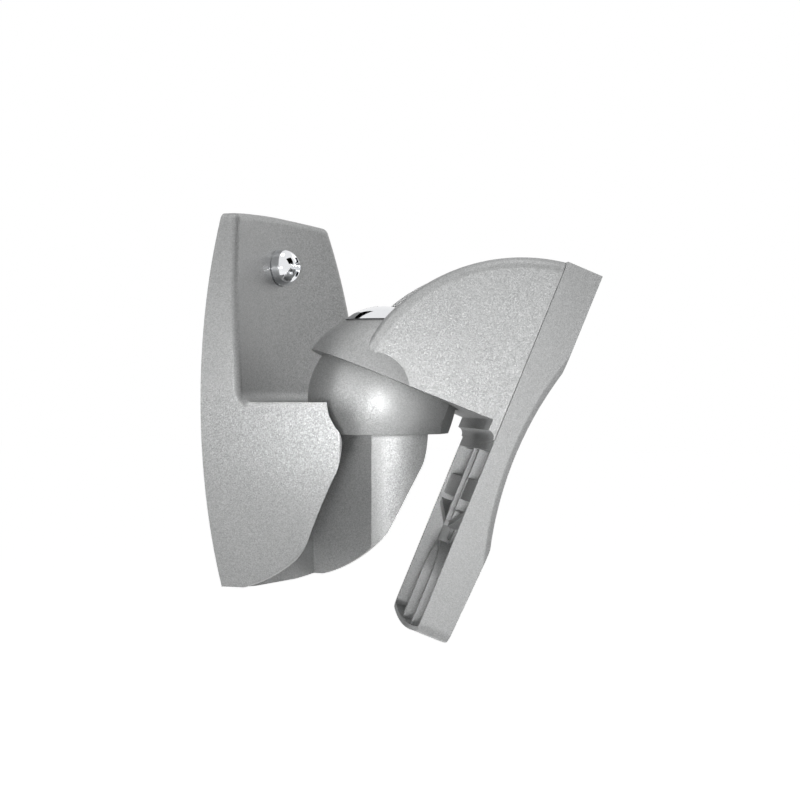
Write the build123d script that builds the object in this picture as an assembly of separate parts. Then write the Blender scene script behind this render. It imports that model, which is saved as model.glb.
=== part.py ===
"""Speaker wall bracket: a wall casting with a half ball, and a clamped head that swivels and tilts on it.

Frame: the wall is the plane Y = 0 and the bracket stands out of it along -Y, with +Z up. The origin is on
the wall, on the centre line, at the height of the ball's centre. All lengths are millimetres.
The head is drawn in its own frame, with the ball's centre as origin, and is then tilted and swivelled.
In that frame "out" runs along -Y, square to the speaker plate, and "up" runs along +Z.
"""
import os
from math import asin, atan, cos, degrees, radians, sin, sqrt, tan

from build123d import *

# Wall casting: flange and bowed sides
WALL_HEIGHT = 83.0
WALL_MID_WIDTH = 62.7
WALL_END_WIDTH = 44.9
SIDE_SLOPE = 15.7
CORNER_ROUND = 2.0
WALL_CROWN = 1.2
FLANGE_TOP_DEPTH = 1.35
FLANGE_FOOT_DEPTH = 3.85
FLANGE_HOLLOW_RADIUS = 85.0
FLANGE_EDGE_ROUND = 1.9
LEDGE_DROP = 0.5
LEDGE_FILLET = 3.0
LEDGE_EDGE_START = 10.0

# Wall casting: ball, its neck and the cheeks round the open cavity
BALL_RADIUS = 17.0
BALL_REACH = 28.9
BALL_FLOOR = 7.6
BALL_FLAT_INSET = 1.3
BALL_FLAT_TURN = 15.0
BALL_FLAT_DROP = 17.0
NECK_WIDTH = 24.0
SOCKET_RADIUS = 23.8
CHEEK_REACH = 30.0
CHEEK_EDGE_ROUND = 0.8
CAVITY_WIDTH = 36.8
CAVITY_BORE_RADIUS = 22.0
BASE_DEPTH = 1.2

# Wall casting: shallow recess in the hidden back
BACK_RECESS_DEPTH = 1.0
BACK_RECESS_WIDTH = 36.0
BACK_RECESS_TOP = 20.0
BACK_RECESS_BOTTOM = -4.0
BACK_RECESS_ROUND = 5.0

# Wall screws, the upper one in the flange and the lower one in the cavity
WALL_SCREW_HEIGHT = 30.8
WALL_SCREW_DROP = 28.2
WALL_SCREW_SEAT = 1.9
WALL_SCREW_RADIUS = 2.0
WALL_SCREW_CORE_RADIUS = 1.8
WALL_SCREW_GRIP = 16.0
WALL_SCREW_TIP = 4.0
WALL_SCREW_POINT_RADIUS = 0.45
WALL_SCREW_HEAD_RADIUS = 4.2
WALL_SCREW_RIM = 2.0
WALL_SCREW_DOME = 3.2
SCREW_HOLE_CLEARANCE = 0.3

# Clamp screw and its guide in the hood's slot
CLAMP_RADIUS = 3.0
CLAMP_DEPTH = 7.0
CLAMP_HEAD_RADIUS = 8.5
CLAMP_HEAD_RISE = 1.5
CLAMP_RUNNING_GAP = 0.05
NUT_ACROSS_FLATS = 10.0
NUT_HEIGHT = 5.0
NUT_SIDE_GAP = 0.1
NUT_BORE_GAP = 0.05
SLIDING_GAP = 0.3
GUIDE_WIDTH = 8.4
GUIDE_LENGTH = 9.0
GUIDE_SIDE_GAP = 0.15

# Hood
HOOD_WALL = 2.5
HOOD_RIM_HEIGHT = 4.4
FIN_ARC_REACH = 28.6
FIN_ARC_RADIUS = 38.0
HOOD_EDGE_ROUND = 3.0
HOOD_FLARE = 0.28
VALLEY_HALF_WIDTH = 10.0
VALLEY_FRONT = 14.5
HOOD_WEB_WIDTH = 10.0
APRON_DEPTH = 2.0
APRON_DROP = 4.1
APRON_SAG = 1.3
APRON_FILLET = 1.6

# Speaker plate
PLATE_REACH = 23.5
PLATE_TOP = 42.0
PLATE_BOTTOM = 43.6
PLATE_THICKNESS = 8.2
HEAD_WIDTH = 50.0
FOOT_SAG = 1.6
FOOT_ROUND = 2.5
FOOT_TAPER = 1.2
RELIEF_TOP = 18.9
RELIEF_BOTTOM = 21.5
RELIEF_DEPTH = 2.6
RELIEF_EDGE_ROUND = 1.5
TRAY_FLOOR = 2.0
TRAY_RIM = 1.0
TRAY_TOP = 2.0
RAIL_THICKNESS = 1.3
RAIL_SINK = 0.6
UPPER_RAIL_SPACING = 8.4
UPPER_RAIL_END = 17.0
CROSS_RIB_DROP = 10.4
CROSS_RIB_SINK = 1.9
LOWER_RAIL_SPACING = 16.0
LOWER_RAIL_TOP = 24.4
SPEAKER_HOLE_RADIUS = 2.6
SPEAKER_HOLE_DROP = 21.0

# Screws between hood and plate
ARM_SCREW_HEIGHTS = (22.0, 36.0)
ARM_SCREW_RADIUS = 1.9
ARM_SCREW_BITE = 7.0
ARM_HEAD_RADIUS = 3.5
ARM_HEAD_HEIGHT = 2.2
ARM_HEAD_SINK = 3.0
ARM_FIT = 0.1

# Pose of the head as the bracket is shown, and its working range
HEAD_TILT = 22.5
HEAD_SWIVEL = 31.6
TILT_DOWN_LIMIT = 24.0
TILT_UP_LIMIT = 10.0

# Drive recess shared by the cross-head screws
CROSS_WIDTH = 1.1
CROSS_SPAN = 4.4
CROSS_DEPTH = 1.8
CROSS_POINT_RADIUS = 0.66
CROSS_MOUTH_RADIUS = 1.43

# Sizes worked out from the ones above
WALL_HALF = WALL_HEIGHT / 2
WALL_END = WALL_HALF + WALL_CROWN
HOOD_INNER = BALL_RADIUS + SLIDING_GAP
HOOD_OUTER = HOOD_INNER + HOOD_WALL
FIN_ARC_HEIGHT = PLATE_TOP - sqrt(FIN_ARC_RADIUS**2 - (FIN_ARC_REACH - PLATE_REACH) ** 2)
FLANGE_LEAN = (FLANGE_FOOT_DEPTH - FLANGE_TOP_DEPTH) / WALL_HALF
OVERSIZE = 100.0
THROUGH = 4 * OVERSIZE
CUT_MARGIN = 1.0
SLOT_END_GAP_ANGLE = 1.0
ON_FACE = 0.02
EDGE_SHARES = (0.1, 0.5, 0.9)

SIDE = Plane(origin=(0, 0, 0), x_dir=(0, -1, 0), z_dir=(-1, 0, 0))
BOTTOM_ALIGN = (Align.CENTER, Align.CENTER, Align.MIN)
TOP_ALIGN = (Align.CENTER, Align.CENTER, Align.MAX)


def facing_out(x=0.0, reach=0.0, height=0.0):
    """Plane square to the wall's normal, at a distance out of the wall, with its normal pointing out."""
    return Plane(origin=(x, -reach, height), x_dir=(1, 0, 0), z_dir=(0, -1, 0))


def slab(face, half_width):
    """Side-view face (out, up) given thickness to both sides of the centre line."""
    return extrude(SIDE * face, amount=half_width, both=True)


def arc_about(centre, radius, start, end):
    """Arc about a centre from one angle to another, in degrees."""
    angles = (start, (start + end) / 2, end)
    points = [(centre[0] + radius * cos(radians(a)), centre[1] + radius * sin(radians(a))) for a in angles]
    return ThreePointArc(*points)


def block(x_range, out_range, z_range):
    """Box given by its ranges across, out of the wall and up."""
    size = (x_range[1] - x_range[0], out_range[1] - out_range[0], z_range[1] - z_range[0])
    middle = (sum(x_range) / 2, -sum(out_range) / 2, sum(z_range) / 2)
    return Pos(*middle) * Box(*size)


def cross_recess():
    """Cross-shaped drive recess, cut down from the plane Z = 0."""
    depth = CROSS_DEPTH
    bar = Pos(0, 0, -depth / 2) * Box(CROSS_SPAN, CROSS_WIDTH, depth)
    point = Pos(0, 0, -depth) * Cone(CROSS_POINT_RADIUS, CROSS_MOUTH_RADIUS, depth, align=BOTTOM_ALIGN)
    return bar + Rot(0, 0, 90) * bar + point


def barrel_sides():
    """Bowed sides that lean inwards: the overlap of two wide cones with their axes out of the wall."""
    sag = (WALL_MID_WIDTH - WALL_END_WIDTH) / 2
    bow = (WALL_HALF**2 + sag**2) / (2 * sag)
    reach = CHEEK_REACH + CORNER_ROUND
    tip = bow - reach * tan(radians(SIDE_SLOPE))
    offset = bow - WALL_MID_WIDTH / 2
    left = facing_out(offset) * Cone(bow, tip, reach, align=BOTTOM_ALIGN)
    right = facing_out(-offset) * Cone(bow, tip, reach, align=BOTTOM_ALIGN)
    return left & right


def flange_hollow(margin=0.0):
    """Wide cylinder, leaning with the flange, that hollows the flange's front face."""
    lean = degrees(atan(FLANGE_LEAN))
    reach = FLANGE_FOOT_DEPTH + FLANGE_HOLLOW_RADIUS / cos(radians(lean))
    return Pos(0, -reach, 0) * Rot(-lean, 0, 0) * Cylinder(FLANGE_HOLLOW_RADIUS + margin, THROUGH)


def cheek_arc():
    """Centre offset from the wall and radius of the cheeks' front arc."""
    drop = WALL_END - BALL_FLOOR
    offset = (CHEEK_REACH**2 - drop**2) / (2 * CHEEK_REACH)
    return offset, CHEEK_REACH - offset


def flange_and_cheeks():
    """Flange, ledge and cheeks as one side profile, trimmed by the bowed sides."""
    offset, radius = cheek_arc()
    end = -90 - degrees(asin(offset / radius))
    end_depth = CHEEK_REACH / 2
    outline = [
        Polyline((0, -WALL_END), (0, WALL_END), (end_depth, WALL_END), (end_depth, -LEDGE_DROP),
                 (CHEEK_REACH, -LEDGE_DROP), (CHEEK_REACH, -BALL_FLOOR)),
        arc_about((offset, -BALL_FLOOR), radius, 0, end),
    ]
    above_ledge = block((-OVERSIZE, OVERSIZE), (-OVERSIZE, OVERSIZE), (-LEDGE_DROP, OVERSIZE))
    crown = (WALL_END_WIDTH**2 / 4 + WALL_CROWN**2) / (2 * WALL_CROWN)
    body = slab(make_face(outline), WALL_MID_WIDTH) & barrel_sides()
    for side in (-1, 1):
        body &= facing_out(0, -OVERSIZE, side * (WALL_END - crown)) * Cylinder(crown, THROUGH)
    body -= flange_hollow() & above_ledge
    rim = flange_hollow(ON_FACE) - flange_hollow(-ON_FACE)

    def on_hollow(point):
        return rim.is_inside(point)

    def on_side(point):
        return abs(point.X) > WALL_END_WIDTH / 4

    def on_cheek_arc(point):
        span = sqrt((-point.Y - offset) ** 2 + (point.Z + BALL_FLOOR) ** 2)
        return abs(span - radius) < ON_FACE and -point.Y > BASE_DEPTH / 2

    def along(edge, test):
        return all(test(edge @ share) for share in EDGE_SHARES)

    corner = [e for e in body.edges() if along(e, on_hollow) and abs((e @ 0.5).Z + LEDGE_DROP) < ON_FACE]
    body = fillet(corner, LEDGE_FILLET)
    top_corners = [e for e in body.edges() if (e @ 0.5).Z > WALL_HALF - ON_FACE and on_side(e @ 0.5)]
    body = fillet(top_corners, CORNER_ROUND)
    ledge = body & block((-OVERSIZE, OVERSIZE), (LEDGE_EDGE_START, OVERSIZE), (-OVERSIZE, -LEDGE_DROP))
    body = fillet([e for e in body.edges() if along(e, on_hollow) and on_side(e @ 0.5)], FLANGE_EDGE_ROUND)
    body += ledge
    return fillet([e for e in body.edges() if along(e, on_cheek_arc)], CHEEK_EDGE_ROUND)


def cavity():
    """Open space under the ball between the cheeks, widened to a bore round the ball's axis."""
    half = CAVITY_WIDTH / 2
    space = block((-half, half), (BASE_DEPTH, OVERSIZE), (-OVERSIZE, -BALL_FLOOR))
    bore = Cylinder(CAVITY_BORE_RADIUS, OVERSIZE, align=TOP_ALIGN)
    return space + Pos(0, -BALL_REACH, -BALL_FLOOR) * bore


def socket():
    """Round clearance in ledge and cheeks about the ball, left standing where the neck carries the ball."""
    below = block((-OVERSIZE, OVERSIZE), (-OVERSIZE, OVERSIZE), (-OVERSIZE, 0))
    neck = block((-NECK_WIDTH / 2, NECK_WIDTH / 2), (-OVERSIZE, OVERSIZE), (-OVERSIZE, OVERSIZE))
    return (Pos(0, -BALL_REACH, 0) * Sphere(SOCKET_RADIUS) & below) - neck


def half_ball():
    """Ball with a flat floor and the small flat low on its front."""
    ball = Sphere(BALL_RADIUS) & block((-OVERSIZE, OVERSIZE), (-OVERSIZE, OVERSIZE), (-BALL_FLOOR, OVERSIZE))
    keep = Pos(0, -BALL_RADIUS + BALL_FLAT_INSET, 0) * Box(
        OVERSIZE, OVERSIZE, OVERSIZE, align=(Align.CENTER, Align.MIN, Align.CENTER)
    )
    ball &= Rot(0, 0, BALL_FLAT_TURN) * Rot(BALL_FLAT_DROP, 0, 0) * keep
    return Pos(0, -BALL_REACH, 0) * ball


def back_recess():
    """Shallow cored recess in the wall face, behind the flange and the ledge."""
    half = BACK_RECESS_WIDTH / 2
    recess = block((-half, half), (0, BACK_RECESS_DEPTH), (BACK_RECESS_BOTTOM, BACK_RECESS_TOP))
    return fillet(recess.edges().filter_by(Axis.Y), BACK_RECESS_ROUND)


def wall_screw_places():
    """Seat planes of the upper and the lower wall screw."""
    return facing_out(0, WALL_SCREW_SEAT, WALL_SCREW_HEIGHT), facing_out(0, BASE_DEPTH, -WALL_SCREW_DROP)


def wall_bracket():
    """The wall casting with its holes for the wall screws and the clamp screw, and the pocket for the nut."""
    body = flange_and_cheeks() - cavity() - socket()
    neck = block((-NECK_WIDTH / 2, NECK_WIDTH / 2), (BASE_DEPTH, BALL_REACH), (-BALL_FLOOR, -LEDGE_DROP))
    body += neck
    body += half_ball()
    body -= back_recess()
    for seat in wall_screw_places():
        sink = WALL_SCREW_HEAD_RADIUS + SCREW_HOLE_CLEARANCE
        body -= seat * Cylinder(sink, BALL_RADIUS, align=BOTTOM_ALIGN)
        body -= seat * Cylinder(WALL_SCREW_RADIUS + SCREW_HOLE_CLEARANCE, BALL_RADIUS)
    axis = Pos(0, -BALL_REACH, 0)
    body -= axis * Cylinder(CLAMP_RADIUS + CLAMP_RUNNING_GAP, OVERSIZE)
    body -= axis * nut_prism(NUT_SIDE_GAP)
    return body


def nut_prism(margin=0.0):
    """Hexagonal prism of the clamp nut, from its seat in the ball down to the floor."""
    hexagon = RegularPolygon(NUT_ACROSS_FLATS / 2 + margin, 6, major_radius=False)
    bottom = BALL_FLOOR + (CUT_MARGIN if margin else 0.0)
    return extrude(Pos(0, 0, -bottom) * hexagon, amount=bottom - BALL_FLOOR + NUT_HEIGHT)


def clamp_nut():
    """Hexagon nut held in its pocket under the ball."""
    nut = nut_prism() - Cylinder(CLAMP_RADIUS + NUT_BORE_GAP, OVERSIZE)
    return Pos(0, -BALL_REACH, 0) * nut


def wall_screws():
    """Round-head screws: straight rim, high dome with a cross recess, plain shank and a thinner core."""
    crown = WALL_SCREW_RIM + WALL_SCREW_DOME
    dome = (WALL_SCREW_HEAD_RADIUS**2 + WALL_SCREW_DOME**2) / (2 * WALL_SCREW_DOME)
    head = Cylinder(WALL_SCREW_HEAD_RADIUS, crown, align=BOTTOM_ALIGN)
    head &= Pos(0, 0, crown - dome) * Sphere(dome)
    head -= Pos(0, 0, crown) * cross_recess()
    core_length = WALL_SCREW_GRIP - WALL_SCREW_TIP
    screws = []
    for seat in wall_screw_places():
        depth = -seat.origin.Y
        core = Pos(0, 0, -depth - core_length)
        shank = Pos(0, 0, -depth) * Cylinder(WALL_SCREW_RADIUS, depth, align=BOTTOM_ALIGN)
        shank += core * Cylinder(WALL_SCREW_CORE_RADIUS, core_length, align=BOTTOM_ALIGN)
        tip = Cone(WALL_SCREW_POINT_RADIUS, WALL_SCREW_CORE_RADIUS, WALL_SCREW_TIP, align=TOP_ALIGN)
        shank += core * tip
        screws.append(seat * (head + shank))
    return screws


def clamp_screw():
    """Dome-head screw: the hollow underside of its head slides on the hood's cap."""
    seat = HOOD_OUTER + SLIDING_GAP
    base = sqrt(seat**2 - CLAMP_HEAD_RADIUS**2)
    crown = HOOD_OUTER + CLAMP_HEAD_RISE
    rise = crown - base
    dome = (CLAMP_HEAD_RADIUS**2 + rise**2) / (2 * rise)
    head = Pos(0, 0, crown - dome) * Sphere(dome)
    head &= Pos(0, 0, base) * Cylinder(CLAMP_HEAD_RADIUS, crown, align=BOTTOM_ALIGN)
    head -= Sphere(seat)
    shank = Pos(0, 0, -CLAMP_DEPTH) * Cylinder(CLAMP_RADIUS, CLAMP_DEPTH + seat, align=BOTTOM_ALIGN)
    screw = head + shank - Pos(0, 0, crown) * cross_recess()
    return Pos(0, -BALL_REACH, 0) * screw


def slot_guide():
    """Keyed bush on the clamp screw that rides in the hood's slot."""
    body = Box(GUIDE_WIDTH, GUIDE_LENGTH, OVERSIZE, align=BOTTOM_ALIGN)
    body &= Sphere(HOOD_OUTER - SLIDING_GAP) - Sphere(HOOD_INNER)
    body -= Cylinder(CLAMP_RADIUS + SLIDING_GAP, OVERSIZE)
    return Pos(0, -BALL_REACH, 0) * Rot(0, 0, HEAD_SWIVEL) * body


def head_wedge(inset=0.0):
    """Wedge between the head's flat sides, which flare from the ball out to the plate."""
    back_half = HEAD_WIDTH / 2 - HOOD_FLARE * (PLATE_REACH + HOOD_OUTER) - inset
    front_half = HEAD_WIDTH / 2 - inset
    corners = [(-back_half, HOOD_OUTER), (-front_half, -PLATE_REACH)]
    corners += [(-x, y) for x, y in reversed(corners)]
    return extrude(make_face(Polyline(*corners, close=True)), amount=OVERSIZE, both=True)


def fin_profile(inset=0.0, floor=HOOD_RIM_HEIGHT):
    """Quarter-disc side profile of the hood, drawn in by an even wall."""
    radius = FIN_ARC_RADIUS - inset
    overhang = FIN_ARC_REACH - PLATE_REACH
    rise = floor - FIN_ARC_HEIGHT
    top = FIN_ARC_HEIGHT + sqrt(radius**2 - overhang**2)
    back = FIN_ARC_REACH - sqrt(radius**2 - rise**2)
    start = 90 + degrees(asin(overhang / radius))
    end = 180 - degrees(asin(rise / radius))
    outline = [
        arc_about((FIN_ARC_REACH, FIN_ARC_HEIGHT), radius, start, end),
        Polyline((back, floor), (PLATE_REACH, floor), (PLATE_REACH, top)),
    ]
    return make_face(outline)


def valley(margin=0.0):
    """Clear space over the cap for the clamp screw's head and a driver, with a round front end."""
    half = VALLEY_HALF_WIDTH + margin
    round_end = VALLEY_FRONT - VALLEY_HALF_WIDTH
    prism = block((-half, half), (-OVERSIZE, round_end), (0, OVERSIZE))
    return prism + Pos(0, -round_end, 0) * Cylinder(half, OVERSIZE, align=BOTTOM_ALIGN)


def apron():
    """Lip below the hood's floor that closes the joint with the plate, with an arched lower edge."""
    foot = HOOD_RIM_HEIGHT - APRON_DROP
    inner = PLATE_REACH - APRON_DEPTH
    lip = make_face([
        Polyline((inner, HOOD_RIM_HEIGHT + HOOD_WALL), (inner, foot + APRON_FILLET)),
        arc_about((inner, foot), APRON_FILLET, 90, 0),
        Polyline((inner + APRON_FILLET, foot), (inner + APRON_FILLET, foot - APRON_SAG),
                 (PLATE_REACH, foot - APRON_SAG), (PLATE_REACH, HOOD_RIM_HEIGHT + HOOD_WALL),
                 (inner, HOOD_RIM_HEIGHT + HOOD_WALL)),
    ])
    body = slab(lip, HEAD_WIDTH)
    span = HEAD_WIDTH / 2
    arch = (span**2 + APRON_SAG**2) / (2 * APRON_SAG)
    lower_edge = facing_out(0, -OVERSIZE, foot - APRON_SAG + arch) * Cylinder(arch, THROUGH)
    return body & lower_edge & head_wedge()


def slot_sector():
    """Slot through the cap for the guide, as long as the tilt range needs."""
    reach_angle = degrees(asin(GUIDE_LENGTH / 2 / HOOD_INNER)) + SLOT_END_GAP_ANGLE
    start = 90 + TILT_DOWN_LIMIT + reach_angle
    end = 90 - TILT_UP_LIMIT - reach_angle
    inner, outer = HOOD_INNER - CUT_MARGIN, HOOD_OUTER + CUT_MARGIN

    def polar(radius, angle):
        return (radius * cos(radians(angle)), radius * sin(radians(angle)))

    sector = make_face([
        arc_about((0, 0), outer, start, end),
        Line(polar(outer, end), polar(inner, end)),
        arc_about((0, 0), inner, end, start),
        Line(polar(inner, start), polar(outer, start)),
    ])
    return slab(sector, GUIDE_WIDTH / 2 + GUIDE_SIDE_GAP)


def arm_hood():
    """Hood with the cap over the ball, the flared side walls, the valley and the cored joint face."""
    above_rim = block((-OVERSIZE, OVERSIZE), (-OVERSIZE, OVERSIZE), (HOOD_RIM_HEIGHT, OVERSIZE))
    fin = slab(fin_profile(), HEAD_WIDTH) & head_wedge()

    def on_top_arc(point):
        span = sqrt((-point.Y - FIN_ARC_REACH) ** 2 + (point.Z - FIN_ARC_HEIGHT) ** 2)
        return abs(span - FIN_ARC_RADIUS) < ON_FACE and point.Z > FIN_ARC_HEIGHT + CUT_MARGIN / 2

    edges = [e for e in fin.edges() if all(on_top_arc(e @ share) for share in EDGE_SHARES)]
    edges = [e for e in edges if abs((e @ 0.1).Z - (e @ 0.9).Z) > HOOD_WALL]
    fin = fillet(edges, HOOD_EDGE_ROUND)
    cap = Sphere(HOOD_OUTER)
    core = slab(fin_profile(HOOD_WALL, HOOD_RIM_HEIGHT + HOOD_WALL), HEAD_WIDTH) & head_wedge(HOOD_WALL)
    core -= cap
    core -= valley(HOOD_WALL)
    core -= block((-HOOD_WEB_WIDTH / 2, HOOD_WEB_WIDTH / 2), (-OVERSIZE, OVERSIZE), (-OVERSIZE, OVERSIZE))
    body = fin - core - (valley() - cap)
    body += cap & above_rim
    body += apron()
    body -= Sphere(HOOD_INNER)
    body -= slot_sector()
    for height in ARM_SCREW_HEIGHTS:
        pilot = facing_out(0, PLATE_REACH - ARM_SCREW_BITE - ARM_FIT, height)
        body -= pilot * Cylinder(ARM_SCREW_RADIUS + ARM_FIT, PLATE_REACH, align=BOTTOM_ALIGN)
    return body


def plate_outline(inset=0.0):
    """Front outline of the speaker plate: straight sides and an arched foot with round corners."""
    half = HEAD_WIDTH / 2
    edges = [
        Polyline((-half, -PLATE_BOTTOM), (-half, PLATE_TOP), (half, PLATE_TOP), (half, -PLATE_BOTTOM)),
        ThreePointArc((half, -PLATE_BOTTOM), (0, -PLATE_BOTTOM - FOOT_SAG), (-half, -PLATE_BOTTOM)),
    ]
    face = make_face(edges)
    face = fillet(face.vertices().sort_by(Axis.Y)[:2], FOOT_ROUND)
    return offset(face, -inset) if inset else face


def speaker_plate():
    """Plate with pads at both ends of its relieved front and a ribbed tray in its back."""
    back = facing_out(0, PLATE_REACH)
    body = extrude(back * plate_outline(), amount=PLATE_THICKNESS)
    front = PLATE_REACH + PLATE_THICKNESS
    foot = PLATE_BOTTOM + FOOT_SAG
    taper = [(front, -RELIEF_BOTTOM), (front - FOOT_TAPER, -foot)]
    taper += [(OVERSIZE, -foot), (OVERSIZE, -RELIEF_BOTTOM)]
    body -= slab(make_face(Polyline(*taper, close=True)), HEAD_WIDTH)
    half_chord = (RELIEF_TOP + RELIEF_BOTTOM) / 2
    middle = (RELIEF_TOP - RELIEF_BOTTOM) / 2
    bow = (half_chord**2 + RELIEF_DEPTH**2) / (2 * RELIEF_DEPTH)
    relief = Pos(0, -(front - RELIEF_DEPTH + bow), middle) * Rot(0, 90, 0) * Cylinder(bow, OVERSIZE)
    body -= relief

    def on_relief(point):
        span = sqrt((-point.Y - front + RELIEF_DEPTH - bow) ** 2 + (point.Z - middle) ** 2)
        return abs(span - bow) < ON_FACE and abs(point.X) < HEAD_WIDTH / 2 + CUT_MARGIN

    edges = [e for e in body.edges() if all(on_relief(e @ share) for share in EDGE_SHARES)]
    body = fillet(edges, RELIEF_EDGE_ROUND)
    tray = extrude(back * plate_outline(TRAY_RIM), amount=PLATE_THICKNESS - RELIEF_DEPTH - TRAY_FLOOR)
    tray &= block((-OVERSIZE, OVERSIZE), (0, OVERSIZE), (-OVERSIZE, -TRAY_TOP))
    body -= tray - tray_ribs()
    hole = facing_out(0, 0, -SPEAKER_HOLE_DROP) * Cylinder(SPEAKER_HOLE_RADIUS, THROUGH)
    body -= hole
    for height in ARM_SCREW_HEIGHTS:
        body -= facing_out(0, 0, height) * Cylinder(ARM_SCREW_RADIUS + SCREW_HOLE_CLEARANCE, THROUGH)
        sink = facing_out(0, front - ARM_HEAD_SINK, height)
        body -= sink * Cylinder(ARM_HEAD_RADIUS + SCREW_HOLE_CLEARANCE, ARM_HEAD_SINK * 2, align=BOTTOM_ALIGN)
    return body


def tray_ribs():
    """Two upper rails, a cross rib and the lower rails, which join in a round arch below the screw hole."""
    thickness = RAIL_THICKNESS / 2
    reach = (PLATE_REACH + RAIL_SINK, OVERSIZE)
    cross_reach = (PLATE_REACH + CROSS_RIB_SINK, OVERSIZE)
    cross_height = (-CROSS_RIB_DROP - thickness, -CROSS_RIB_DROP + thickness)
    ribs = block((-OVERSIZE, OVERSIZE), cross_reach, cross_height)
    for side in (-1, 1):
        middle = side * UPPER_RAIL_SPACING / 2
        ribs += block((middle - thickness, middle + thickness), reach, (-UPPER_RAIL_END, 0))
    half = LOWER_RAIL_SPACING / 2
    arch_height = -LOWER_RAIL_TOP - half - thickness

    def island(radius):
        centre = facing_out(0, reach[0], arch_height)
        round_top = centre * Cylinder(radius, OVERSIZE, align=BOTTOM_ALIGN)
        return round_top + block((-radius, radius), (reach[0], reach[0] + OVERSIZE), (-OVERSIZE, arch_height))

    return ribs + (island(half + thickness) - island(half - thickness))


def arm_screws():
    """The two screws that hold the plate on the hood, sunk in the plate's upper pad."""
    seat_reach = PLATE_REACH + PLATE_THICKNESS - ARM_HEAD_SINK
    length = seat_reach - PLATE_REACH + ARM_SCREW_BITE
    screw = Cylinder(ARM_HEAD_RADIUS, ARM_HEAD_HEIGHT, align=BOTTOM_ALIGN)
    screw = fillet(screw.edges().sort_by(Axis.Z)[-1], ARM_HEAD_HEIGHT / 2)
    screw += Pos(0, 0, -length) * Cylinder(ARM_SCREW_RADIUS, length, align=BOTTOM_ALIGN)
    screw -= Pos(0, 0, ARM_HEAD_HEIGHT) * cross_recess()
    return [facing_out(0, seat_reach, height) * screw for height in ARM_SCREW_HEIGHTS]


def posed(solid):
    """A piece of the head, tilted and swivelled about the ball's centre as the bracket is shown."""
    return Pos(0, -BALL_REACH, 0) * Rot(0, 0, HEAD_SWIVEL) * Rot(HEAD_TILT, 0, 0) * solid


def main():
    """Build every piece and write one STEP file each."""
    pieces = {
        "wall_bracket": wall_bracket(),
        "clamp_screw": clamp_screw(),
        "clamp_nut": clamp_nut(),
        "slot_guide": slot_guide(),
        "arm_hood": posed(arm_hood()),
        "speaker_plate": posed(speaker_plate()),
    }
    for place, screw in zip(("upper", "lower"), wall_screws()):
        pieces[f"wall_screw_{place}"] = screw
    for place, screw in zip(("lower", "upper"), arm_screws()):
        pieces[f"arm_screw_{place}"] = posed(screw)
    os.makedirs("parts", exist_ok=True)
    for name, solid in pieces.items():
        export_step(solid, f"parts/{name}.step")


main()
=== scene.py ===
"""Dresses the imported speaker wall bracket: silver flake paint, bright screws and a white studio.

Lengths are metres in the bracket's own frame: the wall is the plane Y = 0, the bracket stands out of it
along -Y, and +Z is up.
"""
import math
from typing import NamedTuple

import bmesh
import bpy
from bpy.props import FloatProperty, FloatVectorProperty, IntProperty, PointerProperty
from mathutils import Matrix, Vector


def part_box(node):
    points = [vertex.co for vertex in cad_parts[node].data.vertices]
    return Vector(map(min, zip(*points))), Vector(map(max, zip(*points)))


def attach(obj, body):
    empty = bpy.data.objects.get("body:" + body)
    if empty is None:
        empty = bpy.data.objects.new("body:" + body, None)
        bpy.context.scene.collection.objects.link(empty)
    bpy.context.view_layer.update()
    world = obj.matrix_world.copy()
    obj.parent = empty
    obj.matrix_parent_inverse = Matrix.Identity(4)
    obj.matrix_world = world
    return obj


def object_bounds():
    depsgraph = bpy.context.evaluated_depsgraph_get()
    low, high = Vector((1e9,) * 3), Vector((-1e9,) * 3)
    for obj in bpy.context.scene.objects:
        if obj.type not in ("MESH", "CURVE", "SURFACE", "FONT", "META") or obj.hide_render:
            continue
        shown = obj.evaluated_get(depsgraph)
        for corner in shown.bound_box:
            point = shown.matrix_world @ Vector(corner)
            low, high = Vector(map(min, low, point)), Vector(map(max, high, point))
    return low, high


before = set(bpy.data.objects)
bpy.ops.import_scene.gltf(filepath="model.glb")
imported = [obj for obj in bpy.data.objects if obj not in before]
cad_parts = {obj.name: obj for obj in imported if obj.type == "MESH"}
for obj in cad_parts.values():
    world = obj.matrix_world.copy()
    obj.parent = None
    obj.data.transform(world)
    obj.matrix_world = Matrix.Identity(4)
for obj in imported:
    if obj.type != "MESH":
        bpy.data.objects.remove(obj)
CAD_BOX = [list(corner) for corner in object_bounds()]

bl_info = {
    "name": "Speaker wall bracket",
    "version": (1, 0, 0),
    "blender": (4, 5, 0),
    "location": "View3D > Sidebar > Bracket",
    "description": "Finishes the castings and screws of a speaker wall bracket and sets up its studio",
    "category": "Object",
}

MM = 0.001
UP = Vector((0.0, 0.0, 1.0))
HOOD = "arm_hood"
CASTINGS = ("wall_bracket", HOOD, "speaker_plate")
WALL_SCREWS = ("wall_screw_upper", "wall_screw_lower")
ARM_FIXINGS = ("arm_screw_lower", "arm_screw_upper", "clamp_nut")
TRAY_RIBS = "plate_tray_ribs"
PAINT = "silver_flake_paint"
CHROME = "bright_chrome"

# Points closer than this are one point, and faces that lean less than this are one flat face.
WELD_GAP = 0.002 * MM
FLAT_LEAN = math.radians(0.1)
# An edge this near to the joint of hood and plate counts as lying on it.
ON_SEAM = 0.05 * MM
ROUND_SEGMENTS = 3

# The thread's ridge: how deep its middle sits in the core, its section, and its share of the tip.
RIDGE_SINK = 0.1 * MM
RIDGE_SIDES = 4
RIDGE_FLATNESS = 0.55
RIDGE_TIP_SHARE = 0.9

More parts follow.
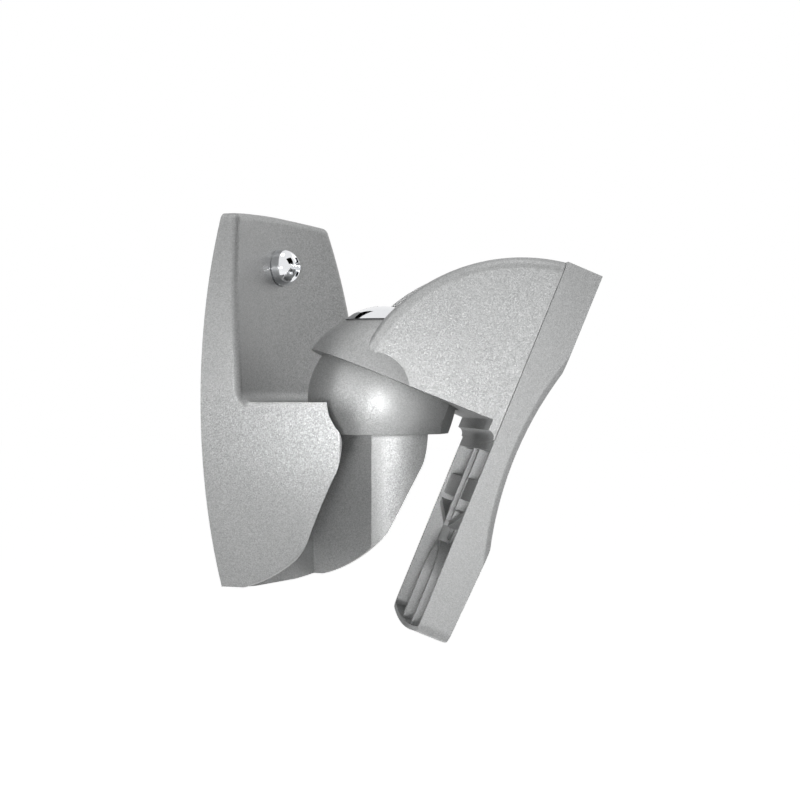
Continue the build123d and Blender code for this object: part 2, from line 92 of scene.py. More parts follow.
# Picture side in pixels, camera sensor in millimetres.
PHOTO_SIDE = 800
SENSOR = 36.0
NEAREST_VIEW = 0.01
WHITE = (1.0, 1.0, 1.0, 1.0)
CARD_BLACK = (0.01, 0.01, 0.01, 1.0)
FLOOR_PALE = (0.80, 0.80, 0.80, 1.0)
# With the lamps' light on top, the floor comes to the white of the surroundings.
FLOOR_GLOW = 0.985


class SpotPlan(NamedTuple):
    """A round spot's place and size.

    Around and above are degrees from the camera, half_angle is half the beam in degrees, the rest metres.
    """

    around: float
    above: float
    distance: float
    half_angle: float
    radius: float


class CardPlan(NamedTuple):
    """A square lamp's or dark card's place and size: around and above are degrees, the rest is metres."""

    around: float
    above: float
    distance: float
    side: float


FRONT_SPOT = SpotPlan(around=-3.0, above=-2.3, distance=0.6, half_angle=6.2, radius=0.06)
LEFT_SPOT = SpotPlan(around=-46.0, above=12.0, distance=0.7, half_angle=9.0, radius=0.08)
POOL_SPOT = SpotPlan(around=-4.0, above=-6.0, distance=0.6, half_angle=2.1, radius=0.012)
TRAY_LAMP = CardPlan(around=-88.0, above=18.0, distance=0.8, side=0.25)
TOP_LAMP = CardPlan(around=0.0, above=85.0, distance=0.8, side=0.25)
BACK_LAMP = CardPlan(around=130.0, above=30.0, distance=1.0, side=0.6)
DARK_FLAGS = {
    "right_flag": CardPlan(around=65.0, above=40.0, distance=0.5, side=0.30),
    "left_flag": CardPlan(around=-150.0, above=38.0, distance=0.5, side=0.22),
    "rear_flag": CardPlan(around=-170.0, above=-4.0, distance=0.35, side=0.20),
}


class CastingSettings(bpy.types.PropertyGroup):
    """Sizes and colours of the painted castings."""

    colour: FloatVectorProperty(
        name="Paint colour", description="Silver of the paint", subtype='COLOR', size=3, min=0.0, max=1.0,
        default=(0.420, 0.425, 0.425))
    flake_size: FloatProperty(
        name="Flake size", description="Width of one metal flake in the paint", unit='LENGTH',
        default=0.20 * MM, min=0.05 * MM)
    flake_tilt: FloatProperty(
        name="Flake tilt", description="How far the flakes lean out of the paint's surface", default=0.09,
        min=0.0, max=1.0)
    flake_contrast: FloatProperty(
        name="Flake contrast", description="How far single flakes differ in brightness", default=0.19,
        min=0.0, max=1.0)
    metal_share: FloatProperty(
        name="Metal share", description="Share of the paint that reflects as metal", subtype='FACTOR',
        default=0.50, min=0.0, max=1.0)
    roughness: FloatProperty(
        name="Paint roughness", description="Roughness of the flake layer", subtype='FACTOR', default=0.49,
        min=0.0, max=1.0)
    edge_round: FloatProperty(
        name="Edge round", description="Radius of the hood's edge along its joint with the plate",
        unit='LENGTH', default=0.22 * MM, min=0.0)
    seam_reach: FloatProperty(
        name="Seam reach", description="From the ball out to the joint of hood and plate", unit='LENGTH',
        default=23.5 * MM)
    sharp_from: FloatProperty(
        name="Sharp from", description="Faces that meet at more than this angle form an edge",
        unit='ROTATION', default=math.radians(23.0))


class TraySettings(bpy.types.PropertyGroup):
    """Ribs in the speaker plate's tray, in the head's own frame: across, out of the ball and up."""

    turn: FloatProperty(
        name="Turn", description="Swivel of the head as it is shown", unit='ROTATION',
        default=math.radians(31.6))
    dip: FloatProperty(
        name="Dip", description="Downward tilt of the head as it is shown", unit='ROTATION',
        default=math.radians(22.5))
    floor_reach: FloatProperty(
        name="Floor reach", description="From the ball out to the ribs' feet", unit='LENGTH',
        default=27.3 * MM)
    rib_reach: FloatProperty(
        name="Rib reach", description="From the ball out to the ribs' tops", unit='LENGTH',
        default=24.2 * MM)
    half_width: FloatProperty(
        name="Half width", description="From the middle to the ribs' ends in the tray's walls",
        unit='LENGTH', default=24.2 * MM)
    rib_width: FloatProperty(
        name="Rib width", description="Thickness of rails and arms", unit='LENGTH', default=1.3 * MM)
    land_height: FloatProperty(
        name="Land height", description="Middle of the side lands, from the ball's level", unit='LENGTH',
        default=-11.5 * MM)
    land_width: FloatProperty(
        name="Land width", description="Width of the side lands", unit='LENGTH', default=5.0 * MM)
    boss_height: FloatProperty(
        name="Boss height", description="Middle of the screw boss, from the ball's level", unit='LENGTH',
        default=-21.0 * MM)
    boss_reach: FloatProperty(
        name="Boss reach", description="From the ball out to the boss's top", unit='LENGTH',
        default=26.0 * MM)
    boss_radius: FloatProperty(
        name="Boss radius", description="Outer radius of the screw boss", unit='LENGTH', default=4.2 * MM)
    boss_bore: FloatProperty(
        name="Boss bore", description="Inner radius of the screw boss", unit='LENGTH', default=2.8 * MM)
    arm_rise: FloatProperty(
        name="Arm rise", description="From the boss up to the arms' ends", unit='LENGTH', default=5.2 * MM)
    rail_aside: FloatProperty(
        name="Rail aside", description="From the middle to each upper rail", unit='LENGTH',
        default=4.2 * MM)
    rail_from: FloatProperty(
        name="Rail from", description="Start of the rails' lower ends", unit='LENGTH', default=-16.5 * MM)
    rail_to: FloatProperty(
        name="Rail to", description="End of the rails' lower ends", unit='LENGTH', default=-20.0 * MM)
    boss_steps: IntProperty(name="Boss steps", description="Sides of the boss", default=40, min=8)


class ScrewSettings(bpy.types.PropertyGroup):
    """Sizes and colours of the screws, the nut and the guide."""

    chrome_colour: FloatVectorProperty(
        name="Chrome colour", description="Colour of the bright plating", subtype='COLOR', size=3, min=0.0,
        max=1.0, default=(0.80, 0.81, 0.83))
    steel_colour: FloatVectorProperty(
        name="Plated steel colour", description="Colour of the dull plating", subtype='COLOR', size=3,
        min=0.0, max=1.0, default=(0.56, 0.57, 0.58))
    guide_colour: FloatVectorProperty(
        name="Guide colour", description="Colour of the plastic guide", subtype='COLOR', size=3, min=0.0,
        max=1.0, default=(0.035, 0.036, 0.038))
    thread_pitch: FloatProperty(
        name="Thread pitch", description="Rise of the wall screw's thread in one turn", unit='LENGTH',
        default=1.7 * MM, min=0.2 * MM)
    thread_height: FloatProperty(
        name="Thread height", description="How far the thread stands out of the screw's core",
        unit='LENGTH', default=0.62 * MM, min=0.0)
    thread_steps: IntProperty(
        name="Thread steps", description="Straight steps in one turn of the thread", default=28, min=8)


class StudioSettings(bpy.types.PropertyGroup):
    """Camera, lamps and floor."""

    view_distance: FloatProperty(
        name="View distance", description="From the camera to the ball's centre", unit='LENGTH',
        default=0.41974)
    view_turn: FloatProperty(
        name="View turn", description="Angle between the view and the wall's own X axis", unit='ROTATION',
        default=math.radians(25.66))
    focal_pixels: FloatProperty(
        name="Focal length in pixels", description="Focal length on a picture of 800 pixels",
        default=1851.24)
    ball_column: FloatProperty(
        name="Ball column", description="Picture column of the ball's centre, of 800", default=382.7)
    ball_reach: FloatProperty(
        name="Ball reach", description="From the wall to the ball's centre", unit='LENGTH',
        default=28.9 * MM)
    floor_drop: FloatProperty(
        name="Floor drop", description="From the bracket's lowest point down to the floor", unit='LENGTH',
        default=0.20)
    fill_strength: FloatProperty(
        name="Fill strength", description="Even light from all round on matt surfaces",
        default=0.02, min=0.0)
    spot_aside: FloatProperty(
        name="Spot aside", description="From the ball to the spots' common aim, to the right",
        unit='LENGTH', default=10.7 * MM)
    spot_below: FloatProperty(
        name="Spot below", description="From the ball down to the spots' common aim", unit='LENGTH',
        default=4.5 * MM)
    front_power: FloatProperty(
        name="Front power", description="Power of the spot beside the camera", unit='POWER', default=11.0)
    pool_power: FloatProperty(
        name="Pool power", description="Power of the narrow spot on the ball", unit='POWER', default=4.5)
    pool_aside: FloatProperty(
        name="Pool aside", description="From the ball to the narrow spot's aim, to the left", unit='LENGTH',
        default=4.0 * MM)
    pool_below: FloatProperty(
        name="Pool below", description="From the ball down to the narrow spot's aim", unit='LENGTH',
        default=3.0 * MM)
    left_power: FloatProperty(
        name="Left power", description="Power of the low spot on the left", unit='POWER', default=2.6)
    tray_power: FloatProperty(
        name="Tray power", description="Power of the lamp on the left that reaches the plate's tray",
        unit='POWER', default=2.6)
    top_power: FloatProperty(
        name="Top power", description="Power of the top lamp", unit='POWER', default=0.8)
    back_power: FloatProperty(
        name="Back power", description="Power of the lamp behind on the right", unit='POWER', default=0.7)


def node_piece(name):
    """A CAD node's object."""
    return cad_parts[name]


def ball_centre(scene):
    """Centre of the ball that the head turns on."""
    return Vector((0.0, -scene.bracket_studio.ball_reach, 0.0))


def linked(name, data):
    """New object in the scene."""
    piece = bpy.data.objects.new(name, data)
    bpy.context.scene.collection.objects.link(piece)
    return piece


def emptied(owner):
    """Node tree of a material or world, with nothing in it."""
    owner.use_nodes = True
    owner.node_tree.nodes.clear()
    return owner.node_tree


def add_node(tree, kind, **values):
    """New node with some of its properties set."""
    node = tree.nodes.new(kind)
    for key, value in values.items():
        setattr(node, key, value)
    return node


def new_material(name):
    """New material with nothing but a Principled shader and its output."""
    material = bpy.data.materials.new(name)
    tree = emptied(material)
    shader = add_node(tree, 'ShaderNodeBsdfPrincipled')
    output = add_node(tree, 'ShaderNodeOutputMaterial')
    tree.links.new(shader.outputs['BSDF'], output.inputs['Surface'])
    return material, tree, shader


def remap(tree, source, low, high):
    """Map Range node that takes 0..1 to low..high."""
    node = add_node(tree, 'ShaderNodeMapRange')
    node.inputs['To Min'].default_value = low
    node.inputs['To Max'].default_value = high
    tree.links.new(source, node.inputs['Value'])
    return node.outputs['Result']


def tinted(tree, colour, factor):
    """A colour scaled by a factor that varies over the surface."""
    node = add_node(tree, 'ShaderNodeVectorMath', operation='SCALE')
    node.inputs[0].default_value = colour
    tree.links.new(factor, node.inputs['Scale'])
    return node.outputs['Vector']


def noise(tree, place, size, detail=2.0, stretch=None):
    """Noise texture with its grain about as wide as size, drawn out along the axes where asked."""
    node = add_node(tree, 'ShaderNodeTexNoise')
    node.inputs['Scale'].default_value = 1.0 / size
    node.inputs['Detail'].default_value = detail
    if stretch:
        mapping = add_node(tree, 'ShaderNodeMapping')
        mapping.inputs['Scale'].default_value = stretch
        tree.links.new(place, mapping.inputs['Vector'])
        place = mapping.outputs['Vector']
    tree.links.new(place, node.inputs['Vector'])
    return node.outputs['Fac']


def bump(tree, height, depth, strength):
    """Bump node of a given depth in metres."""
    node = add_node(tree, 'ShaderNodeBump')
    node.inputs['Strength'].default_value = strength
    node.inputs['Distance'].default_value = depth
    tree.links.new(height, node.inputs['Height'])
    return node.outputs['Normal']


def flake_paint(settings):
    """Silver paint: fine metal flakes that lean and shine differently, under a lightly uneven coat."""
    material, tree, shader = new_material(PAINT)
    place = add_node(tree, 'ShaderNodeTexCoord').outputs['Object']
    flakes = add_node(tree, 'ShaderNodeTexVoronoi')
    flakes.inputs['Scale'].default_value = 1.0 / settings.flake_size
    tree.links.new(place, flakes.inputs['Vector'])
    parts = add_node(tree, 'ShaderNodeSeparateColor')
    tree.links.new(flakes.outputs['Color'], parts.inputs['Color'])

    contrast = settings.flake_contrast
    shine = remap(tree, parts.outputs['Red'], 1.0 - contrast, 1.0 + contrast)
    cloud = remap(tree, noise(tree, place, size=9.0 * MM), low=0.96, high=1.04)
    both = add_node(tree, 'ShaderNodeMath', operation='MULTIPLY')
    tree.links.new(shine, both.inputs[0])
    tree.links.new(cloud, both.inputs[1])
    tree.links.new(tinted(tree, settings.colour, both.outputs['Value']), shader.inputs['Base Color'])
    spread = 0.08
    gloss = remap(tree, parts.outputs['Green'], settings.roughness - spread, settings.roughness + spread)
    tree.links.new(gloss, shader.inputs['Roughness'])

    coat = bump(tree, noise(tree, place, size=1.1 * MM), depth=0.02 * MM, strength=0.35)
    centred = add_node(tree, 'ShaderNodeVectorMath', operation='SUBTRACT')
    centred.inputs[1].default_value = (0.5, 0.5, 0.5)
    tree.links.new(flakes.outputs['Color'], centred.inputs[0])
    lean = add_node(tree, 'ShaderNodeVectorMath', operation='SCALE')
    lean.inputs['Scale'].default_value = 2.0 * settings.flake_tilt
    tree.links.new(centred.outputs['Vector'], lean.inputs[0])
    leaning = add_node(tree, 'ShaderNodeVectorMath', operation='ADD')
    tree.links.new(coat, leaning.inputs[0])
    tree.links.new(lean.outputs['Vector'], leaning.inputs[1])
    upright = add_node(tree, 'ShaderNodeVectorMath', operation='NORMALIZE')
    tree.links.new(leaning.outputs['Vector'], upright.inputs[0])
    tree.links.new(upright.outputs['Vector'], shader.inputs['Normal'])
    shader.inputs['Metallic'].default_value = settings.metal_share
    shader.inputs['Coat Weight'].default_value = 0.12
    shader.inputs['Coat Roughness'].default_value = 0.30
    return material


def bright_plating(settings):
    """Chrome with faint polishing marks and slightly uneven gloss."""
    material, tree, shader = new_material(CHROME)
    place = add_node(tree, 'ShaderNodeTexCoord').outputs['Object']
    haze = noise(tree, place, size=1.6 * MM, detail=4.0)
    tree.links.new(remap(tree, haze, low=0.03, high=0.11), shader.inputs['Roughness'])
    shade = remap(tree, haze, low=0.94, high=1.02)
    tree.links.new(tinted(tree, settings.chrome_colour, shade), shader.inputs['Base Color'])
    marks = noise(tree, place, size=0.30 * MM, detail=3.0, stretch=(1.0, 1.0, 0.12))
    tree.links.new(bump(tree, marks, depth=0.004 * MM, strength=0.30), shader.inputs['Normal'])
    shader.inputs['Metallic'].default_value = 1.0
    return material


def dull_plating(settings):
    """Zinc plating: fine crystals that differ a little in shade, and turning marks."""
    material, tree, shader = new_material("zinc_plated_steel")
    place = add_node(tree, 'ShaderNodeTexCoord').outputs['Object']
    crystals = add_node(tree, 'ShaderNodeTexVoronoi')
    crystal_size = 0.35 * MM
    crystals.inputs['Scale'].default_value = 1.0 / crystal_size
    tree.links.new(place, crystals.inputs['Vector'])
    parts = add_node(tree, 'ShaderNodeSeparateColor')
    tree.links.new(crystals.outputs['Color'], parts.inputs['Color'])
    shade = remap(tree, parts.outputs['Red'], low=0.90, high=1.08)
    tree.links.new(tinted(tree, settings.steel_colour, shade), shader.inputs['Base Color'])
    tree.links.new(remap(tree, parts.outputs['Green'], low=0.26, high=0.40), shader.inputs['Roughness'])
    marks = noise(tree, place, size=0.25 * MM, detail=3.0)
    tree.links.new(bump(tree, marks, depth=0.01 * MM, strength=0.4), shader.inputs['Normal'])
    shader.inputs['Metallic'].default_value = 1.0
    return material


def guide_plastic(settings):
    """Moulded plastic with a fine spark-eroded grain."""
    material, tree, shader = new_material("moulded_guide_plastic")
    place = add_node(tree, 'ShaderNodeTexCoord').outputs['Object']
    grain = noise(tree, place, size=0.22 * MM, detail=4.0)
    shade = remap(tree, grain, low=0.8, high=1.2)
    tree.links.new(tinted(tree, settings.guide_colour, shade), shader.inputs['Base Color'])
    tree.links.new(remap(tree, grain, low=0.42, high=0.60), shader.inputs['Roughness'])
    tree.links.new(bump(tree, grain, depth=0.02 * MM, strength=0.5), shader.inputs['Normal'])
    return material


def wear(piece, material):
    """Gives every material slot of a piece the same material."""
    if not piece.material_slots:
        piece.data.materials.append(material)
    for slot in piece.material_slots:
        slot.material = material


def edge_tree():
    """Geometry Nodes tree that smooths the shading up to one angle and marks the edges on the seam."""
    name = "sort_edges"
    if name in bpy.data.node_groups:
        return bpy.data.node_groups[name]
    tree = bpy.data.node_groups.new(name, 'GeometryNodeTree')
    tree.interface.new_socket("Geometry", in_out='INPUT', socket_type='NodeSocketGeometry')
    for key in ("Sharp from", "Seam reach"):
        tree.interface.new_socket(key, in_out='INPUT', socket_type='NodeSocketFloat')
    for key in ("Seam point", "Seam normal"):
        tree.interface.new_socket(key, in_out='INPUT', socket_type='NodeSocketVector')
    tree.interface.new_socket("Geometry", in_out='OUTPUT', socket_type='NodeSocketGeometry')
    source = add_node(tree, 'NodeGroupInput')
    result = add_node(tree, 'NodeGroupOutput')
    angle = add_node(tree, 'GeometryNodeInputMeshEdgeAngle').outputs['Unsigned Angle']
    offset = add_node(tree, 'ShaderNodeVectorMath', operation='SUBTRACT')
    tree.links.new(add_node(tree, 'GeometryNodeInputPosition').outputs['Position'], offset.inputs[0])
    tree.links.new(source.outputs['Seam point'], offset.inputs[1])
    height = add_node(tree, 'ShaderNodeVectorMath', operation='DOT_PRODUCT')
    tree.links.new(offset.outputs['Vector'], height.inputs[0])
    tree.links.new(source.outputs['Seam normal'], height.inputs[1])
    distance = add_node(tree, 'ShaderNodeMath', operation='ABSOLUTE')
    tree.links.new(height.outputs['Value'], distance.inputs[0])

    def compared(operation, value, key):
        node = add_node(tree, 'FunctionNodeCompare', data_type='FLOAT', operation=operation)
        tree.links.new(value, node.inputs['A'])
        tree.links.new(source.outputs[key], node.inputs['B'])
        return node.outputs['Result']

    sharp = compared('GREATER_THAN', angle, 'Sharp from')
    faces = add_node(tree, 'GeometryNodeSetShadeSmooth', domain='FACE')
    edges = add_node(tree, 'GeometryNodeSetShadeSmooth', domain='EDGE')
    edges.inputs['Shade Smooth'].default_value = False
    within = add_node(tree, 'FunctionNodeBooleanMath', operation='AND')
    marked = add_node(tree, 'GeometryNodeStoreNamedAttribute', data_type='FLOAT', domain='EDGE')
    marked.inputs['Name'].default_value = "bevel_weight_edge"
    tree.links.new(source.outputs['Geometry'], faces.inputs['Geometry'])
    tree.links.new(faces.outputs['Geometry'], edges.inputs['Geometry'])
    tree.links.new(sharp, edges.inputs['Selection'])
    tree.links.new(sharp, within.inputs[0])
    tree.links.new(compared('LESS_THAN', distance.outputs['Value'], 'Seam reach'), within.inputs[1])
    tree.links.new(edges.outputs['Geometry'], marked.inputs['Geometry'])
    tree.links.new(within.outputs['Boolean'], marked.inputs['Value'])
    tree.links.new(marked.outputs['Geometry'], result.inputs['Geometry'])
    return tree


def set_input(modifier, name, value):
    """Sets a Geometry Nodes modifier's input by its socket's identifier."""
    for item in modifier.node_group.interface.items_tree:
        if item.item_type == 'SOCKET' and item.in_out == 'INPUT' and item.name == name:
            modifier[item.identifier] = value
            return
    raise RuntimeError(f"no input named {name}")


def soften(piece, sharp_from, seam=None, edge_round=0.0):
    """Joins a node's facets, smooths its shading and rounds its edges on a seam, a point and a normal."""
    weld = piece.modifiers.new("Join facets", 'WELD')
    weld.merge_threshold = WELD_GAP
    merge = piece.modifiers.new("Merge flat facets", 'DECIMATE')
    merge.decimate_type = 'DISSOLVE'
    merge.angle_limit = FLAT_LEAN
    sort = piece.modifiers.new("Sort edges", 'NODES')
    sort.node_group = edge_tree()
    set_input(sort, "Sharp from", sharp_from)
    if seam:
        set_input(sort, "Seam point", seam[0])
        set_input(sort, "Seam normal", seam[1])
        set_input(sort, "Seam reach", ON_SEAM)
        round_edges = piece.modifiers.new("Round edges", 'BEVEL')
        round_edges.limit_method = 'WEIGHT'
        round_edges.width = edge_round
        round_edges.segments = ROUND_SEGMENTS
        round_edges.use_clamp_overlap = False
    normals = piece.modifiers.new("Even shading", 'WEIGHTED_NORMAL')
    normals.keep_sharp = True


class BRACKET_OT_paint_castings(bpy.types.Operator):
    """Paint the wall casting, the hood and the speaker plate, and round the hood's edges at their joint"""

    bl_idname = "bracket.paint_castings"
    bl_label = "Paint castings"

    def execute(self, context):
        settings = context.scene.bracket_castings
        paint = flake_paint(settings)
        tray = context.scene.bracket_tray
        out = head_axes(tray.turn, tray.dip)[1]
        seam = (ball_centre(context.scene) + out * settings.seam_reach, out)
        for name in CASTINGS:
            piece = node_piece(name)
            wear(piece, paint)
            if name == HOOD:
                soften(piece, settings.sharp_from, seam, settings.edge_round)
            else:
                soften(piece, settings.sharp_from)
        return {'FINISHED'}


def head_axes(turn, dip):
    """The head's directions across, out and up, as it is shown."""
    across = Vector((math.cos(turn), math.sin(turn), 0.0))
    level = Vector((math.sin(turn), -math.cos(turn), 0.0))
    out = level * math.cos(dip) - UP * math.sin(dip)
    return across, out, level * math.sin(dip) + UP * math.cos(dip)


def bar_outline(start, end, width):
    """Corners of a straight bar between two points."""
    start, end = Vector(start), Vector(end)
    run = (end - start).normalized() * (width / 2)
    side = Vector((-run.y, run.x))
    return [start - side, end - side, end + side, start + side]


def add_walls(mesh, outline, place, top, floor):
    """Upright walls along a closed outline, with the rings of vertices at their tops and feet."""
    upper = [mesh.verts.new(place(point, top)) for point in outline]
    lower = [mesh.verts.new(place(point, floor)) for point in outline]
    for index in range(len(outline)):
        mesh.faces.new((upper[index - 1], upper[index], lower[index], lower[index - 1]))
    return upper, lower


def add_prism(mesh, outline, place, top, floor):
    """Closed prism over an outline."""
    upper, lower = add_walls(mesh, outline, place, top, floor)
    mesh.faces.new(upper)
    mesh.faces.new(lower)


def add_ring(mesh, outer, inner, place, top, floor):
    """Closed ring between two outlines of as many points."""
    outer_rings = add_walls(mesh, outer, place, top, floor)
    inner_rings = add_walls(mesh, inner, place, top, floor)
    for around, within in zip(outer_rings, inner_rings):
        for index in range(len(around)):
            mesh.faces.new((around[index - 1], around[index], within[index], within[index - 1]))


class BRACKET_OT_rib_tray(bpy.types.Operator):
    """Add the two lands, the screw boss with its two arms and the rails' lower ends to the plate's tray"""

    bl_idname = "bracket.rib_tray"
    bl_label = "Rib tray"

    def execute(self, context):
        settings = context.scene.bracket_tray
        ball = ball_centre(context.scene)
        across, out, up = head_axes(settings.turn, settings.dip)
        boss = Vector((0.0, settings.boss_height))

        def place(point, reach):
            return ball + across * point.x + out * reach + up * point.y

        def circle(radius):
            turns = [2.0 * math.pi * step / settings.boss_steps for step in range(settings.boss_steps)]
            return [boss + Vector((math.cos(turn), math.sin(turn))) * radius for turn in turns]

        middle_radius = (settings.boss_radius + settings.boss_bore) / 2
        side = settings.half_width
        bars = []
        for left in (-1, 1):
            end = boss + Vector((left * side, settings.arm_rise))
            start = boss + (end - boss).normalized() * middle_radius
            rail = left * settings.rail_aside
            rail_ends = (rail, settings.rail_from), (rail, settings.rail_to)
            bars.append(bar_outline(start, end, settings.rib_width))
            bars.append(bar_outline(*rail_ends, settings.rib_width))
            bars.append(bar_outline((rail, settings.land_height), (left * side, settings.land_height),
                                    settings.land_width))

        shape = bmesh.new()
        for outline in bars:
            add_prism(shape, outline, place, settings.rib_reach, settings.floor_reach)
        ring = (circle(settings.boss_radius), circle(settings.boss_bore))
        add_ring(shape, *ring, place, settings.boss_reach, settings.floor_reach)
        bmesh.ops.recalc_face_normals(shape, faces=shape.faces)
        mesh = bpy.data.meshes.new(TRAY_RIBS)
        shape.to_mesh(mesh)
        shape.free()
        mesh.materials.append(bpy.data.materials[PAINT])
        ribs = linked(TRAY_RIBS, mesh)
        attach(ribs, "head")
        return {'FINISHED'}


def thread_tree():
    """Geometry Nodes tree of a screw's thread: a ridge along a spiral, with its run-out on the tip."""
    tree = bpy.data.node_groups.new("screw_thread", 'GeometryNodeTree')
    tree.interface.new_socket("Geometry", in_out='INPUT', socket_type='NodeSocketGeometry')
    for name in ("Core radius", "Tip radius", "Length", "Tip length", "Pitch", "Height"):
        tree.interface.new_socket(name, in_out='INPUT', socket_type='NodeSocketFloat')
    tree.interface.new_socket("Steps", in_out='INPUT', socket_type='NodeSocketInt')
    tree.interface.new_socket("Finish", in_out='INPUT', socket_type='NodeSocketMaterial')
    tree.interface.new_socket("Geometry", in_out='OUTPUT', socket_type='NodeSocketGeometry')
    source = add_node(tree, 'NodeGroupInput')
    result = add_node(tree, 'NodeGroupOutput')

    def maths(operation, first, second):
        node = add_node(tree, 'ShaderNodeMath', operation=operation)
        for socket, value in zip(node.inputs, (first, second)):
            if isinstance(value, float):
                socket.default_value = value
            else:
                tree.links.new(value, socket)
        return node.outputs['Value']

    def ridge_path(start_radius, end_radius, length):
        spiral = add_node(tree, 'GeometryNodeCurveSpiral')
        tree.links.new(source.outputs['Steps'], spiral.inputs['Resolution'])
        tree.links.new(maths('DIVIDE', length, source.outputs['Pitch']), spiral.inputs['Rotations'])
        tree.links.new(start_radius, spiral.inputs['Start Radius'])
        tree.links.new(end_radius, spiral.inputs['End Radius'])
        tree.links.new(length, spiral.inputs['Height'])
        return spiral.outputs['Curve']

    core, tip = source.outputs['Core radius'], source.outputs['Tip radius']
    straight = ridge_path(core, core, source.outputs['Length'])
    taper = ridge_path(core, tip, source.outputs['Tip length'])
    rotations = maths('DIVIDE', source.outputs['Length'], source.outputs['Pitch'])
    turn = maths('MULTIPLY', rotations, 2.0 * math.pi)
    placing = add_node(tree, 'ShaderNodeCombineXYZ')
    tree.links.new(source.outputs['Length'], placing.inputs['Z'])
    turning = add_node(tree, 'ShaderNodeCombineXYZ')
    tree.links.new(turn, turning.inputs['Z'])
    moved = add_node(tree, 'GeometryNodeTransform')
    tree.links.new(taper, moved.inputs['Geometry'])
    tree.links.new(placing.outputs['Vector'], moved.inputs['Translation'])
    tree.links.new(turning.outputs['Vector'], moved.inputs['Rotation'])

    section = add_node(tree, 'GeometryNodeCurvePrimitiveCircle', mode='RADIUS')
    section.inputs['Resolution'].default_value = RIDGE_SIDES
    tree.links.new(source.outputs['Height'], section.inputs['Radius'])
    flat = add_node(tree, 'GeometryNodeTransform')
    flat.inputs['Scale'].default_value = (1.0, RIDGE_FLATNESS, 1.0)
    tree.links.new(section.outputs['Curve'], flat.inputs['Geometry'])
    joined = add_node(tree, 'GeometryNodeJoinGeometry')
    for path in (straight, moved.outputs['Geometry']):
        tree.links.new(path, joined.inputs['Geometry'])
    upright = add_node(tree, 'GeometryNodeSetCurveNormal', mode='Z_UP')
    tree.links.new(joined.outputs['Geometry'], upright.inputs['Curve'])
    swept = add_node(tree, 'GeometryNodeCurveToMesh')
    swept.inputs['Fill Caps'].default_value = True
    tree.links.new(upright.outputs['Curve'], swept.inputs['Curve'])
    tree.links.new(flat.outputs['Geometry'], swept.inputs['Profile Curve'])
    real = add_node(tree, 'GeometryNodeRealizeInstances')
    tree.links.new(swept.outputs['Mesh'], real.inputs['Geometry'])
    finish = add_node(tree, 'GeometryNodeSetMaterial')
    tree.links.new(real.outputs['Geometry'], finish.inputs['Geometry'])
    tree.links.new(source.outputs['Finish'], finish.inputs['Material'])
    tree.links.new(finish.outputs['Geometry'], result.inputs['Geometry'])
    return tree


def baked_piece(name, tree, inputs):
    """Plain mesh object made by a Geometry Nodes tree, with no modifier left on it."""
    holder = linked(f"{name}_source", bpy.data.meshes.new(f"{name}_source"))
    modifier = holder.modifiers.new("Shape", 'NODES')
    modifier.node_group = tree
    for key, value in inputs.items():
        set_input(modifier, key, value)
    graph = bpy.context.evaluated_depsgraph_get()
    mesh = bpy.data.meshes.new_from_object(holder.evaluated_get(graph))
    mesh.name = name
    piece = linked(name, mesh)
    bpy.data.objects.remove(holder)
    return piece


class BRACKET_OT_dress_wall_screws(bpy.types.Operator):
    """Plate the wall screws and add the threads on their shanks behind the wall face"""

    bl_idname = "bracket.dress_wall_screws"
    bl_label = "Dress wall screws"

    core_radius: FloatProperty(
        name="Core radius", description="Radius of the shank behind the wall", unit='LENGTH',
        default=1.8 * MM)
    tip_radius: FloatProperty(
        name="Tip radius", description="Radius at the end of the tip", unit='LENGTH', default=0.45 * MM)
    core_length: FloatProperty(
        name="Core length", description="From the wall to the tip", unit='LENGTH', default=12.0 * MM)
    tip_length: FloatProperty(
        name="Tip length", description="Length of the tapered tip", unit='LENGTH', default=4.0 * MM)

    def execute(self, context):
        settings = context.scene.bracket_screws
        sharp_from = context.scene.bracket_castings.sharp_from
        chrome = bright_plating(settings)
        tree = thread_tree()
        for name in WALL_SCREWS:
            screw = node_piece(name)
            wear(screw, chrome)
            soften(screw, sharp_from)
            low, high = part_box(name)
            thread = baked_piece(f"{name}_thread", tree, {
                "Core radius": self.core_radius - RIDGE_SINK,
                "Tip radius": self.tip_radius,
                "Length": self.core_length,
                "Tip length": self.tip_length * RIDGE_TIP_SHARE,
                "Pitch": settings.thread_pitch,
                "Height": settings.thread_height,
                "Steps": settings.thread_steps,
                "Finish": chrome,
            })
            height = (low[2] + high[2]) / 2
            for vertex in thread.data.vertices:
                x, y, z = vertex.co
                vertex.co = (x, z, height - y)
            thread.data.update()
            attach(thread, "wall")
        return {'FINISHED'}


class BRACKET_OT_plate_clamp_screw(bpy.types.Operator):
    """Plate the clamp screw"""

    bl_idname = "bracket.plate_clamp_screw"
    bl_label = "Plate clamp screw"

    def execute(self, context):
        piece = node_piece("clamp_screw")
        wear(piece, bpy.data.materials[CHROME])
        soften(piece, context.scene.bracket_castings.sharp_from)
        return {'FINISHED'}


class BRACKET_OT_finish_arm_fixings(bpy.types.Operator):
    """Finish the arm screws, the clamp nut and the guide in the hood's slot"""

    bl_idname = "bracket.finish_arm_fixings"
    bl_label = "Finish arm fixings"

    def execute(self, context):
        settings = context.scene.bracket_screws
        sharp_from = context.scene.bracket_castings.sharp_from
        steel = dull_plating(settings)
        for name in ARM_FIXINGS:
            wear(node_piece(name), steel)
            soften(node_piece(name), sharp_from)
        guide = node_piece("slot_guide")
        wear(guide, guide_plastic(settings))
        soften(guide, sharp_from)
        return {'FINISHED'}


def facing(direction):
    """Rotation that looks along a direction with the picture's top up."""
    return direction.to_track_quat('-Z', 'Y').to_euler()


